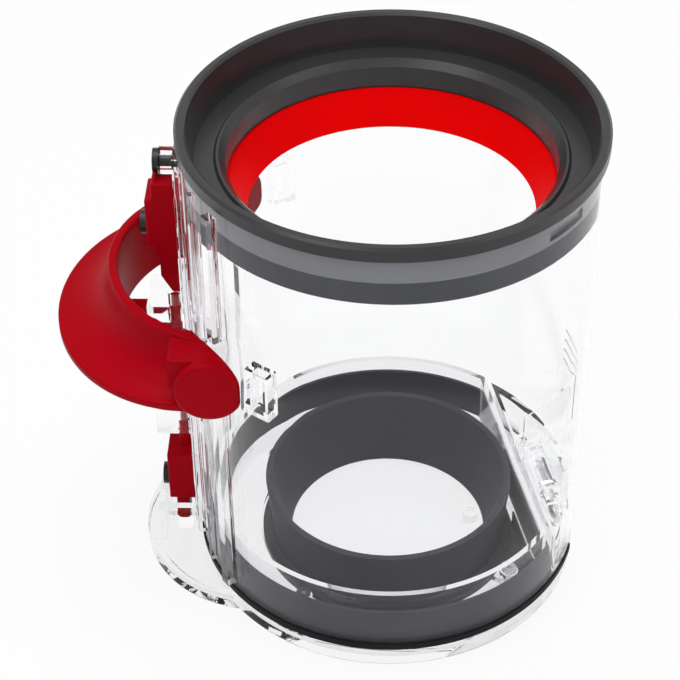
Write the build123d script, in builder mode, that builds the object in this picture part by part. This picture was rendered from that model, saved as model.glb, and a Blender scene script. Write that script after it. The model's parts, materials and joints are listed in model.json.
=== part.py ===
from build123d import *
import os
from math import atan, cos, degrees, radians, sin, sqrt

# Cyclone dust bin: a clear tube with a dark collar and a red wiper at the top,
# a hinged clear lid with its seals at the bottom, and a red release lever on its runner side.
# Millimetres and degrees. +Z is up and z = 0 is the lid's resting face.
# The tube's axis is x = y = 0. The runner is on -X and the hinge is near +X.

# Clearances
seat_gap = 0.1  # between pieces that are fixed to each other
slide_gap = 0.3  # between pieces that slide or swing past each other
pivot_gap = 0.05  # radial, between a pivot and its bore
pin_gap = 0.02  # radial, between a fixed pin or screw and its bore

# Tube
tube_top_radius = 58.25
tube_draft = 0.7  # how much narrower the foot is
tube_wall = 1.5
tube_height = 138.6

# Lid
lid_inset = 0.45  # from the tube's edge in to the lid's
lid_floor = 2.2
lid_rim_wall = 2.3
lid_rim_height = 7.5
lid_edge_round = 1.0
lobe_radius = 36.6
lobe_proud = 17.9  # how far the lobe stands out past the lid's round edge
lobe_wall = 1.8
lobe_height = 6.0
plug_wall = 1.6
plug_height = 26.0
rim_seal_height = 2.2
rim_seal_width = 2.0
rim_seal_proud = 0.35  # past the tube's foot

# Hinge, in a frame turned about the axis: u points outwards and v along the pin
hinge_turn = 12.5
hinge_inset = 4.05  # from the tube's bore in to the pin's axis
hinge_pin_radius = 1.5
knuckle_radius = 3.0
knuckle_half = 9.0
lug_thickness = 3.0
lug_room = 1.7  # between the lugs and the lid's edge
lid_end_gap = 1.0  # the lid stops this far short of the pin's axis beside the apron
apron_margin = 8.5  # from the lugs to the ends of the apron
apron_end_gap = 0.7
apron_gap = 1.5  # between the apron's foot and the open lid's edge

# Inlet duct behind a flat wall on the hinge side, with a barrel under its roof
duct_gap = 9.8  # from the pin's axis in to the flat wall
duct_wall = 1.6
duct_height = 22.5
duct_mouth_width = 8.0
duct_mouth_depth = 5.0
duct_mouth_inset = 1.0  # from the walls beside it
barrel_radius = 3.4
barrel_half = 10.2
barrel_inset = 2.8  # from the pin's axis in to the barrel's
barrel_drop = 6.5  # from the duct's top down to the barrel's axis

# Shallow pad on the tube's wall
pad_angles = (-51.0, -28.0)
pad_proud = 0.1  # past the tube's top edge
pad_foot = 71.0
pad_height = 16.0

# Collar at the top
collar_overhang = 0.25  # past the tube's top edge
collar_height = 4.0
collar_rim = 3.0
collar_chamfer = 0.7
collar_lean = 1.9  # how far the rim's inner wall leans in down to the shelf
collar_skirt_drop = 14.3
collar_skirt_wall = 2.4
collar_band_drop = 7.6
collar_band_depth = 0.9
shelf_drop = 10.2
shelf_width = 6.0
shelf_thickness = 2.2
bead_height = 0.7
lip_inset = 2.6  # from the bead in to the lip
lip_wall = 1.9
lip_drop = 18.2
snap_slot_angle = -38.0
snap_slot_width = 14.0
snap_slot_height = 3.4
snap_slot_depth = 1.3
snap_slot_lift = 1.2

# Wiper
wiper_thickness = 1.3
wiper_reach = 5.3  # from the lip in to the free edge
wiper_drop = 10.8
wiper_fold = 0.8

# Seals on the lid
skirt_gap = 0.35  # to the tube's bore
skirt_thickness = 2.2
skirt_lift = 0.5  # above the lid's knuckle
skirt_height = 11.2
skirt_draft = 1.2
funnel_gap = 0.5  # from the lip to the flat of the lid's plug
funnel_flange_width = 3.5
funnel_flange_height = 1.4
funnel_flare = 2.1  # from the foot out to the lip
funnel_cone = 7.6  # from the lip in to the hole
funnel_lip_z = 25.2
funnel_wall = 1.9
clamp_room = 0.5  # between the funnel's foot and the ring
clamp_edge = 0.5  # from the funnel's flange out to the ring's edge
clamp_end_room = 6.0  # the ring ends this far from the plug's flat
clamp_thickness = 1.8
clamp_boss_room = 2.2  # between the funnel's flange and the screw bosses
clamp_boss_radius = 2.7
clamp_boss_height = 4.4
clamp_boss_count = 4
clamp_boss_start = 56.0
clamp_screw_radius = 1.1
clamp_screw_length = 6.0
clamp_head_radius = 2.2
clamp_head_height = 1.2
floor_post_angle = 6.5
floor_post_radius = 2.4
floor_post_height = 3.0
floor_post_gap = 1.5  # to the funnel's hole

# Runner
runner_proud = 0.4
runner_half = 11.0
runner_foot_gap = 3.0
runner_head_gap = 2.4
rib_angles = (15.0, 27.0)
rib_depth = 1.2
rib_thickness = 1.8
rail_angle = 38.0
rail_depth = 2.6
rail_thickness = 3.2
rail_wedge = 5.0
keeper_proud = 8.75  # this and the next ones of that name are from the runner's face
keeper_gap = 0.6
keeper_width = 2.4
keeper_height = 3.0

# Screws of the runner
screw_radius = 1.4
screw_length = 6.0
screw_head_radius = 3.4
screw_head_height = 1.7
boss_radius = 2.7
top_boss_radius = 3.8
top_boss_proud = 4.65
top_boss_gap = 0.6

# Thumb lever, a yoke on two side trunnions
hub_inset = 9.95  # from the tube's outside in to the pivot
hub_drop = 52.7  # from the tube's top down to the pivot
hub_radius = 9.4
hub_length = 8.7
hub_cap = 4.3  # between the trunnion's end and the hub's face
hub_edge = 0.7
trunnion_radius = 4.0
lever_turn = 12.0
visor_proud = 36.35
visor_shift = 6.7  # from the pivot forward to the visor's middle
visor_inset = 1.6  # from the hub's face in to the visor's side
visor_drop = 7.7  # this and the next ones of that name are below the pivot
visor_thickness = 2.2
flare_width = 15.5
yoke_shift = 1.3  # from the pivot back to the yoke's middle
yoke_inset = 11.1
yoke_wall = 2.6
yoke_drop = 10.9
yoke_back_rise = 8.6
yoke_front_rise = 11.6
flare_steps = ((1.0, 0.0), (0.55, 0.08), (0.2, 0.3), (0.04, 0.62), (0.0, 1.0))  # spread, height
arm_width = 11.0  # forward from the pivot
arm_inset = 2.8  # from the hub's face in to the arm's side
toe_half = 3.2
toe_drop = 16.1
toe_gap = 0.6  # to the guide
stop_angle = 55.5
stop_width = 7.6
stop_depth = 3.75
stop_rise = 10.0  # above the pivot
stop_height = 15.0
stop_wall = 1.6

# Push rod and its guide
rod_offset = 3.0  # from the runner's face to the rod's axis
rod_radius = 1.9
rod_end_gap = 1.8  # below the guide's head
rod_per_radian = 26.0  # how far the lever's toe moves the rod
rod_lug_bite = 2.9  # how far the lug reaches under the toe
rod_lug_half = 3.6
rod_lug_height = 5.5
block_proud = 8.35
block_half = 6.0
block_foot = 17.5
block_height = 17.5
block_screw_lift = 5.1
tongue_proud = 2.85
tongue_thickness = 3.9
tongue_half = 3.0
tongue_margin = 0.55  # above the resting face when the rod is down
tongue_round = 1.2
tongue_room = 0.5
guide_proud = 10.35
guide_half = 7.8
guide_wall = 1.6
guide_lift = 9.0  # above the rod's block
guide_drop = 2.1  # below the pivot
guide_bridge = 6.0
guide_round = 3.0
latch_depth = 2.5
latch_wall = 1.8
latch_height = 2.2
latch_nose = 1.0

# Release catch above the lever
catch_proud = 6.95
catch_half = 5.5
catch_head_rise = 38.3  # this and the next ones of that name are above the pivot
catch_step_rise = 14.5
catch_gap = 0.6  # to the guide when the catch is down
catch_pad_depth = 2.0
catch_pad_foot_rise = 17.1
catch_pad_head_rise = 33.1
catch_lower_inset = 1.1
catch_tip_rise = 7.1
catch_tip_proud = 2.85
catch_screw_rise = 22.1
catch_travel = 3.0
catch_peg_rise = 7.5
catch_peg_height = 2.0
catch_peg_half = 1.5
catch_roof = 1.6  # between the spring's pocket and the screw's slot

# Springs
rod_spring_radius = 2.55
rod_spring_wire = 0.6
rod_spring_turns = 6
catch_spring_radius = 1.2
catch_spring_wire = 0.4
catch_spring_turns = 5
catch_spring_offset = 1.9
wire_sides = 6

# Worked out from the values above: tube and lid
tube_foot_radius = tube_top_radius - tube_draft
tube_bore_foot = tube_foot_radius - tube_wall
tube_bore_top = tube_top_radius - tube_wall
tube_foot = lid_rim_height + rim_seal_height + slide_gap
tube_top = tube_foot + tube_height
lid_radius = tube_foot_radius - lid_inset
lobe_centre = -(lid_radius + lobe_proud - lobe_radius)
rim_seal_radius = tube_foot_radius + rim_seal_proud
skirt_foot_radius = tube_bore_foot - skirt_gap
plug_radius = skirt_foot_radius - skirt_thickness

# Hinge and duct
hinge_u = (cos(radians(hinge_turn)), sin(radians(hinge_turn)), 0)
hinge_v = (-sin(radians(hinge_turn)), cos(radians(hinge_turn)), 0)
hinge_side = Plane(origin=(0, 0, 0), x_dir=hinge_u, z_dir=(-hinge_v[0], -hinge_v[1], 0))
hinge_reach = tube_bore_foot - hinge_inset
hinge_height = lid_floor + knuckle_radius
skirt_foot = hinge_height + knuckle_radius + skirt_lift
lug_inner = knuckle_half + slide_gap
lug_reach = sqrt((tube_foot_radius - tube_wall / 2) ** 2 - (lug_inner + lug_thickness / 2) ** 2)
lid_notch = hinge_reach - knuckle_radius - lug_room
lid_end = hinge_reach - lid_end_gap
apron_half = lug_inner + lug_thickness + apron_margin
apron_foot = hinge_height - knuckle_radius - lug_room + apron_gap
lid_notch_half = apron_half + apron_end_gap
duct_reach = hinge_reach - duct_gap
duct_foot = tube_foot + seat_gap
barrel_reach = hinge_reach - barrel_inset
plug_flat = duct_reach - slide_gap - skirt_thickness

# Seals on the lid
funnel_lip_radius = plug_flat - plug_wall - funnel_gap
funnel_foot_radius = funnel_lip_radius - funnel_flare
funnel_flange = funnel_foot_radius + funnel_flange_width
funnel_hole = funnel_lip_radius - funnel_cone
clamp_boss_circle = funnel_flange + clamp_boss_room + clamp_boss_radius
clamp_outer = funnel_flange + clamp_edge
clamp_foot = lid_floor + funnel_flange_height + seat_gap
clamp_head = clamp_foot + clamp_boss_height
clamp_cut_place = plug_flat - plug_wall - clamp_end_room + clamp_outer / 2
floor_post_reach = funnel_hole - floor_post_radius - floor_post_gap

# Collar and wiper
collar_radius = tube_top_radius + collar_overhang
collar_top = tube_top + collar_height
shelf_z = collar_top - shelf_drop
shelf_radius = collar_radius - collar_rim - collar_lean
bead_radius = shelf_radius - shelf_width
lip_radius = bead_radius - lip_inset
lip_foot = collar_top - lip_drop
skirt_z = tube_top - collar_skirt_drop
band_z = tube_top - collar_band_drop
collar_skirt_radius = tube_bore_top - tube_draft * collar_skirt_drop / tube_height - seat_gap
band_radius = collar_skirt_radius - collar_band_depth
wiper_neck = lip_radius + lip_wall + seat_gap
wiper_flange = band_radius - collar_skirt_wall - seat_gap
wiper_head = shelf_z - shelf_thickness - seat_gap
wiper_turn = lip_foot - seat_gap
wiper_edge_radius = lip_radius - wiper_reach
wiper_edge_z = lip_foot - wiper_drop

# Runner
rib_root = tube_bore_foot
rib_end = tube_top_radius + rib_depth
rail_end = tube_top_radius + rail_depth
runner_face = tube_top_radius + runner_proud
runner_foot = tube_foot + runner_foot_gap
runner_head = tube_top - runner_head_gap
slider_face = runner_face + slide_gap
keeper_reach = runner_face + keeper_proud
keeper_inner = block_half + keeper_gap
latch_inner = keeper_reach + slide_gap
latch_reach = latch_inner + latch_depth
latch_half = keeper_inner + keeper_width
latch_shoulder = runner_foot + keeper_height + slide_gap

# Lever
hub_x = -(tube_top_radius - hub_inset)
hub_z = tube_top - hub_drop
yoke_foot = hub_z - yoke_drop
swing_room = yoke_drop * sin(radians(lever_turn))  # the yoke's foot comes in this far
lever_clear = tube_top_radius + rib_depth + slide_gap + swing_room
hub_end = sqrt(lever_clear**2 - hub_x**2) + hub_length
trunnion_end = hub_end - hub_cap - slide_gap
visor_reach = runner_face + visor_proud
visor_centre = hub_x - visor_shift
visor_depth = visor_reach + visor_centre
visor_half = hub_end - visor_inset
visor_z = hub_z - visor_drop
visor_top = visor_z + visor_thickness
yoke_centre = hub_x + yoke_shift
yoke_depth = visor_reach - flare_width + yoke_centre
yoke_half = hub_end - yoke_inset
yoke_back_top = hub_z + yoke_back_rise
yoke_front_top = hub_z + yoke_front_rise
stop_reach = tube_top_radius + stop_depth
stop_foot = hub_z + stop_rise - stop_height
arm_inner = yoke_half - 2 * yoke_wall
arm_outer = hub_end - arm_inset

# Push rod and guide
rod_x = -(runner_face + rod_offset)
rod_travel = rod_per_radian * radians(lever_turn)
block_reach = runner_face + block_proud
block_screw_z = block_foot + block_screw_lift
tongue_inner = runner_face + tongue_proud
tongue_outer = tongue_inner + tongue_thickness
tongue_foot = rod_travel + tongue_margin
guide_reach = runner_face + guide_proud
guide_foot = block_foot + block_height + guide_lift
guide_bridge_top = guide_foot + guide_bridge
guide_head = hub_z - guide_drop
rod_top = guide_head - rod_end_gap
toe_foot = hub_z - toe_drop
toe_reach = guide_reach + toe_gap
rod_lug_head = toe_foot - slide_gap
rod_lug_foot = rod_lug_head - rod_lug_height
rod_lug_reach = toe_reach + rod_lug_bite

# Catch
catch_reach = runner_face + catch_proud
catch_pad_reach = catch_reach + catch_pad_depth
catch_lower_reach = catch_reach - catch_lower_inset
catch_tip_outer = runner_face + catch_tip_proud
catch_head = hub_z + catch_head_rise
catch_pad_head = hub_z + catch_pad_head_rise
catch_pad_foot = hub_z + catch_pad_foot_rise
catch_step = hub_z + catch_step_rise
catch_tip_start = hub_z + catch_tip_rise
catch_foot = guide_head + catch_travel + catch_gap
catch_screw_z = hub_z + catch_screw_rise
catch_peg_z = hub_z + catch_peg_rise
catch_pocket_head = catch_screw_z - boss_radius - slide_gap - catch_roof
catch_pocket_reach = runner_face + 2 * catch_spring_offset
catch_spring_x = -(runner_face + catch_spring_offset)
top_boss_z = catch_head + top_boss_gap + top_boss_radius
runner_bosses = (
    (top_boss_z, runner_face + top_boss_proud, top_boss_radius),
    (catch_screw_z, catch_pad_reach + slide_gap, boss_radius),
    (block_screw_z, block_reach + slide_gap, boss_radius),
)


def hinge_plane(height):
    return Plane(origin=(0, 0, height), x_dir=hinge_u, z_dir=(0, 0, 1))


def flat_disc(radius, reach):
    # A disc with a flat on the hinge side, drawn in the sketch that is open.
    Circle(radius)
    with Locations((reach + radius, 0)):
        Rectangle(2 * radius, 2 * radius, mode=Mode.SUBTRACT)


def hinge_notch():
    # What the lid and its rim seal leave free beside the hinge, drawn in the sketch that is open.
    with Locations((lid_end + lid_radius, 0)):
        Rectangle(2 * lid_radius, 2 * lid_radius)
    with Locations((lid_notch + lid_radius, 0)):
        Rectangle(2 * lid_radius, 2 * lid_notch_half)


def spring(foot_z, head_z, centre_x, radius, wire, turns):
    # A coil of round wire between two seats, drawn in the part that is open.
    length = head_z - foot_z - wire
    pitch = length / turns
    with BuildLine(Plane(origin=(centre_x, 0, foot_z + wire / 2))) as coil:
        Helix(pitch=pitch, height=length, radius=radius)
    start = Plane(origin=(centre_x + radius, 0, foot_z + wire / 2), x_dir=(1, 0, 0), z_dir=(0, 1, 0))
    with BuildSketch(start) as section:
        RegularPolygon(wire / 2, wire_sides)
    sweep(section.sketch, path=coil.line, is_frenet=True)


# Clear tube with its runner, ribs, trunnions, stops and hinge lugs
with BuildPart() as bin_tube:
    with BuildSketch(Plane.XZ):
        Polygon(
            (0, tube_foot),
            (tube_foot_radius, tube_foot),
            (tube_top_radius, tube_top),
            (0, tube_top),
            align=None,
        )
    revolve(axis=Axis.Z)
    # Apron over the hinge
    with BuildSketch(hinge_plane(apron_foot)):
        Circle(tube_foot_radius)
        with Locations((tube_foot_radius, 0)):
            Rectangle(tube_foot_radius, 2 * apron_half, mode=Mode.INTERSECT)
    extrude(amount=tube_foot - apron_foot + tube_wall)
    # Flat runner face
    with BuildSketch(Plane.XY.offset(runner_foot)):
        with Locations((-(runner_face + rib_root) / 2, 0)):
            Rectangle(runner_face - rib_root, 2 * runner_half)
    extrude(amount=runner_head - runner_foot)
    # Plain ribs beside the runner
    with BuildSketch(Plane.XY.offset(runner_foot)):
        for angle in rib_angles:
            for side in (1, -1):
                with PolarLocations((rib_root + rib_end) / 2, 1, start_angle=180 + side * angle):
                    Rectangle(rib_end - rib_root, rib_thickness)
    extrude(amount=runner_head - runner_foot)
    # Side rails, broken where the lever's hubs turn
    rail_lower_head = hub_z - hub_radius - rail_wedge
    rail_upper_foot = hub_z + hub_radius + slide_gap
    for foot, head in ((runner_foot, rail_lower_head), (rail_upper_foot, runner_head)):
        with BuildSketch(Plane.XY.offset(foot)):
            for side in (1, -1):
                with PolarLocations((rib_root + rail_end) / 2, 1, start_angle=180 + side * rail_angle):
                    Rectangle(rail_end - rib_root, rail_thickness)
        extrude(amount=head - foot)
    # Trunnions for the lever
    with BuildSketch(Plane.XZ):
        with Locations((hub_x, hub_z)):
            Circle(trunnion_radius)
    extrude(amount=trunnion_end, both=True)
    # Hollow stop blocks beside the hubs
    with BuildSketch(Plane.XY.offset(stop_foot)):
        for side in (1, -1):
            with PolarLocations((rib_root + stop_reach) / 2, 1, start_angle=180 + side * stop_angle):
                Rectangle(stop_reach - rib_root, stop_width)
    extrude(amount=stop_height)
    with BuildSketch(Plane.XY.offset(stop_foot + stop_wall)):
        for side in (1, -1):
            with PolarLocations(stop_reach, 1, start_angle=180 + side * stop_angle):
                Rectangle(2 * (stop_reach - tube_top_radius), stop_width - 2 * stop_wall)
    extrude(amount=stop_height - 2 * stop_wall, mode=Mode.SUBTRACT)
    # Bosses for the runner's screws
    for boss_z, reach, radius in runner_bosses:
        with BuildSketch(Plane.YZ.offset(-rib_root)):
            with Locations((0, boss_z)):
                Circle(radius)
        extrude(amount=-(reach - rib_root))
        with BuildSketch(Plane.YZ.offset(-reach)):
            with Locations((0, boss_z)):
                Circle(screw_radius + pin_gap)
        extrude(amount=screw_length + seat_gap, mode=Mode.SUBTRACT)
    # Peg under the catch's spring
    with BuildSketch(Plane.XZ):
        with Locations((-runner_face, catch_peg_z)):
            Rectangle(
                2 * (catch_pocket_reach - runner_face - slide_gap),
                catch_peg_height,
                align=(Align.CENTER, Align.MIN),
            )
    extrude(amount=catch_peg_half, both=True)
    # Shallow pad on the wall, cut from a disc by a wedge
    pad_radius = tube_top_radius + pad_proud
    pad_sides = [Vector(2 * pad_radius, 0).rotate(Axis.Z, angle) for angle in pad_angles]
    with BuildSketch(Plane.XY.offset(pad_foot)):
        Circle(pad_radius)
        Polygon((0, 0), *[(side.X, side.Y) for side in pad_sides], align=None, mode=Mode.INTERSECT)
    extrude(amount=pad_height)
    # Keeper prongs for the lid's latch
    with BuildSketch(Plane.XY.offset(runner_foot)):
        for side in (1, -1):
            with Locations((-(keeper_reach + rib_root) / 2, side * (keeper_inner + keeper_width / 2))):
                Rectangle(keeper_reach - rib_root, keeper_width)
    extrude(amount=keeper_height)
    # Bore
    with BuildSketch(Plane.XZ):
        Polygon(
            (0, 0),
            (tube_bore_foot, 0),
            (tube_bore_foot, tube_foot),
            (tube_bore_top, tube_top),
            (0, tube_top),
            align=None,
        )
    revolve(axis=Axis.Z, mode=Mode.SUBTRACT)
    # Hinge lugs inside the apron
    for start in (lug_inner, -lug_inner - lug_thickness):
        with BuildSketch(hinge_side.offset(start)):
            with Locations((hinge_reach, hinge_height)):
                Circle(knuckle_radius)
                Rectangle(
                    lug_reach - hinge_reach,
                    2 * knuckle_radius,
                    align=(Align.MIN, Align.CENTER),
                )
                Circle(hinge_pin_radius + pin_gap, mode=Mode.SUBTRACT)
        extrude(amount=lug_thickness)

# Inlet duct: a flat wall and a flat roof against the tube's inside, open below
with BuildPart() as inlet_duct:
    with BuildSketch(hinge_plane(duct_foot)):
        Circle(tube_bore_foot - seat_gap)
        with Locations((duct_reach, 0)):
            Rectangle(2 * tube_bore_foot, 2 * tube_bore_foot, align=(Align.MAX, Align.CENTER), mode=Mode.SUBTRACT)
    extrude(amount=duct_height - duct_foot)
    with BuildSketch(hinge_plane(duct_foot)):
        Circle(tube_bore_foot - seat_gap - duct_wall)
        with Locations((duct_reach + duct_wall, 0)):
            Rectangle(2 * tube_bore_foot, 2 * tube_bore_foot, align=(Align.MAX, Align.CENTER), mode=Mode.SUBTRACT)
    extrude(amount=duct_height - duct_wall - duct_foot, mode=Mode.SUBTRACT)
    # Mouth in the roof, beside the barrel
    with BuildSketch(hinge_plane(duct_height - duct_wall)):
        with Locations((duct_reach + duct_wall + duct_mouth_inset, -barrel_half - duct_wall - duct_mouth_inset)):
            Rectangle(duct_mouth_depth, duct_mouth_width, align=(Align.MIN, Align.MAX))
    extrude(amount=duct_wall, mode=Mode.SUBTRACT)
    # Barrel between two webs that hang from the roof
    with BuildSketch(hinge_side):
        with Locations((barrel_reach, duct_height - barrel_drop)):
            Circle(barrel_radius)
    extrude(amount=barrel_half, both=True)
    for start in (barrel_half, -barrel_half - duct_wall):
        with BuildSketch(hinge_side.offset(start)):
            with Locations((duct_reach + duct_wall / 2, duct_height - duct_wall / 2)):
                Rectangle(
                    barrel_reach + barrel_radius - duct_reach - duct_wall / 2,
                    barrel_drop - duct_wall / 2,
                    align=(Align.MIN, Align.MAX),
                )
        extrude(amount=duct_wall)

# Dark collar: rim on the tube's edge, skirt inside the tube, shelf, bead and inner lip
with BuildPart() as top_collar:
    with BuildSketch(Plane.XZ):
        Polygon(
            (collar_radius, tube_top),
            (collar_radius, collar_top - collar_chamfer),
            (collar_radius - collar_chamfer, collar_top),
            (collar_radius - collar_rim + collar_chamfer, collar_top),
            (collar_radius - collar_rim, collar_top - collar_chamfer),
            (shelf_radius, shelf_z),
            (bead_radius + bead_height, shelf_z),
            (bead_radius, shelf_z + bead_height),
            (bead_radius - bead_height, shelf_z + bead_height),
            (lip_radius + bead_height, shelf_z - bead_height),
            (lip_radius, shelf_z - 2 * bead_height),
            (lip_radius, lip_foot),
            (lip_radius + lip_wall, lip_foot),
            (lip_radius + lip_wall, shelf_z - shelf_thickness),
            (band_radius - collar_skirt_wall, shelf_z - shelf_thickness),
            (band_radius - collar_skirt_wall, skirt_z),
            (band_radius, skirt_z),
            (band_radius, band_z),
            (collar_skirt_radius, band_z),
            (collar_skirt_radius, tube_top),
            align=None,
        )
    revolve(axis=Axis.Z)
    # Snap slot in the skirt
    with BuildSketch(Plane.XY.offset(band_z + snap_slot_lift)):
        with PolarLocations(collar_skirt_radius, 1, start_angle=snap_slot_angle):
            Rectangle(2 * snap_slot_depth, snap_slot_width)
    extrude(amount=snap_slot_height, mode=Mode.SUBTRACT)

# Rubber band round the skirt's foot
with BuildPart() as collar_seal:
    with BuildSketch(Plane.XZ):
        with Locations((band_radius, skirt_z)):
            Rectangle(
                collar_band_depth,
                band_z - skirt_z,
                align=(Align.MIN, Align.MIN),
            )
    revolve(axis=Axis.Z)

# Red wiper: flange under the shelf, neck round the lip, cone down to the free edge
with BuildPart() as shroud_wiper:
    with BuildSketch(Plane.XZ):
        Polygon(
            (wiper_flange, wiper_head),
            (wiper_neck, wiper_head),
            (wiper_neck, wiper_turn),
            (lip_radius - wiper_fold, wiper_turn),
            (wiper_edge_radius, wiper_edge_z + wiper_fold),
            (wiper_edge_radius + wiper_fold, wiper_edge_z),
            (lip_radius + wiper_fold, wiper_turn - wiper_thickness),
            (wiper_neck + wiper_thickness, wiper_turn - wiper_thickness),
            (wiper_neck + wiper_thickness, wiper_head - wiper_thickness),
            (wiper_flange, wiper_head - wiper_thickness),
            align=None,
        )
    revolve(axis=Axis.Z)

# Dark ring that holds the wiper up in the collar
with BuildPart() as wiper_clamp:
    with BuildSketch(Plane.XZ):
        with Locations((wiper_neck + wiper_thickness + seat_gap, skirt_z)):
            Rectangle(
                wiper_flange - wiper_neck - wiper_thickness - seat_gap,
                wiper_head - wiper_thickness - seat_gap - skirt_z,
                align=(Align.MIN, Align.MIN),
            )
    revolve(axis=Axis.Z)

# Clear lid: floor, rim, lobe, plug, latch, knuckle and posts
with BuildPart() as base_lid:
    with BuildSketch():
        with Locations((lobe_centre, 0)):
            Circle(lobe_radius)
    extrude(amount=lobe_height)
    with BuildSketch():
        Circle(lid_radius)
    extrude(amount=lid_rim_height)
    fillet(base_lid.edges().group_by(Axis.Z)[0], lid_edge_round)
    with BuildSketch(Plane.XY.offset(lid_floor)):
        with Locations((lobe_centre, 0)):
            Circle(lobe_radius - lobe_wall)
        Circle(lid_radius, mode=Mode.SUBTRACT)
    extrude(amount=lobe_height, mode=Mode.SUBTRACT)
    with BuildSketch(Plane.XY.offset(lid_floor)):
        Circle(lid_radius - lid_rim_wall)
    extrude(amount=lid_rim_height, mode=Mode.SUBTRACT)
    # Plug that carries the skirt seal
    with BuildSketch(hinge_plane(lid_floor)):
        flat_disc(plug_radius, plug_flat)
        offset(amount=-plug_wall, mode=Mode.SUBTRACT)
    extrude(amount=plug_height - lid_floor)
    # Room for the hinge
    with BuildSketch(hinge_plane(0)):
        hinge_notch()
    extrude(amount=lid_rim_height, mode=Mode.SUBTRACT)
    # Knuckle on its arm
    arm_start = plug_flat - plug_wall / 2
    with BuildSketch(hinge_side):
        with Locations((hinge_reach, hinge_height)):
            Circle(knuckle_radius)
        Polygon(
            (arm_start, lid_floor / 2),
            (lid_notch - slide_gap, lid_floor / 2),
            (lid_notch - slide_gap, hinge_height - knuckle_radius),
            (hinge_reach, hinge_height - knuckle_radius),
            (hinge_reach, hinge_height + knuckle_radius),
            (arm_start, hinge_height + knuckle_radius),
            align=None,
        )
        with Locations((hinge_reach, hinge_height)):
            Circle(hinge_pin_radius + pivot_gap, mode=Mode.SUBTRACT)
    extrude(amount=knuckle_half, both=True)
    # Latch that reaches up past the keeper's prongs
    with BuildSketch(Plane.XZ):
        Polygon(
            (-latch_reach, lid_floor / 2),
            (-latch_reach, latch_shoulder + latch_height),
            (-latch_reach + latch_wall, latch_shoulder + latch_height),
            (-latch_inner, latch_shoulder + latch_nose),
            (-latch_inner, latch_shoulder),
            (-latch_reach + latch_wall, latch_shoulder),
            (-latch_reach + latch_wall, lid_floor / 2),
            align=None,
        )
    extrude(amount=latch_half, both=True)
    # Slot under the rod's tongue
    with BuildSketch():
        with Locations((-(tongue_inner + tongue_outer) / 2, 0)):
            Rectangle(tongue_outer - tongue_inner + 2 * tongue_room, 2 * (tongue_half + tongue_room))
    extrude(amount=lid_floor, mode=Mode.SUBTRACT)
    # Posts for the clamp's screws, and a small locating post
    with BuildSketch(Plane.XY.offset(lid_floor)):
        with PolarLocations(clamp_boss_circle, clamp_boss_count, start_angle=clamp_boss_start):
            Circle(clamp_boss_radius)
    extrude(amount=clamp_foot - lid_floor)
    with BuildSketch(Plane.XY.offset(clamp_head - clamp_screw_length - seat_gap)):
        with PolarLocations(clamp_boss_circle, clamp_boss_count, start_angle=clamp_boss_start):
            Circle(clamp_screw_radius + pin_gap)
    extrude(amount=clamp_screw_length, mode=Mode.SUBTRACT)
    with BuildSketch(Plane.XY.offset(lid_floor)):
        with PolarLocations(floor_post_reach, 1, start_angle=floor_post_angle):
            Circle(floor_post_radius)
    extrude(amount=floor_post_height)

# Black seal on the lid's rim
with BuildPart() as rim_seal:
    with BuildSketch(Plane.XY.offset(lid_rim_height)):
        Circle(rim_seal_radius)
        Circle(rim_seal_radius - rim_seal_width, mode=Mode.SUBTRACT)
    extrude(amount=rim_seal_height)
    with BuildSketch(hinge_plane(lid_rim_height)):
        hinge_notch()
    extrude(amount=rim_seal_height, mode=Mode.SUBTRACT)

# Dark skirt seal round the plug, tapered so that it leaves the tube as the lid swings
with BuildPart() as skirt_seal:
    with BuildSketch(hinge_plane(skirt_foot)):
        flat_disc(skirt_foot_radius, duct_reach - slide_gap)
    extrude(amount=skirt_height, taper=degrees(atan(skirt_draft / skirt_height)))
    with BuildSketch(hinge_plane(skirt_foot)):
        flat_disc(plug_radius + seat_gap, plug_flat + seat_gap)
    extrude(amount=skirt_height, mode=Mode.SUBTRACT)

# Dark funnel seal: an outer wall and an inner cone that meet at the lip
with BuildPart() as funnel_seal:
    with BuildSketch(Plane.XZ):
        Polygon(
            (funnel_flange, lid_floor),
            (funnel_flange, lid_floor + funnel_flange_height),
            (funnel_foot_radius, lid_floor + funnel_flange_height),
            (funnel_lip_radius, funnel_lip_z - funnel_wall / 2),
            (funnel_lip_radius - funnel_wall / 2, funnel_lip_z),
            (funnel_lip_radius - funnel_wall, funnel_lip_z - funnel_wall / 2),
            (funnel_hole, lid_floor + funnel_wall),
            (funnel_hole, lid_floor),
            (funnel_hole + funnel_wall, lid_floor),
            (funnel_lip_radius - funnel_wall, funnel_lip_z - 3 * funnel_wall),
            (funnel_foot_radius - funnel_wall, lid_floor),
            align=None,
        )
    revolve(axis=Axis.Z)
    # The flange stops at the plug's flat
    with BuildSketch(hinge_plane(lid_floor)):
        with Locations((plug_flat - plug_wall - seat_gap, 0)):
            Rectangle(funnel_flange, 2 * funnel_flange, align=(Align.MIN, Align.CENTER))
    extrude(amount=funnel_flange_height, mode=Mode.SUBTRACT)

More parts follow.
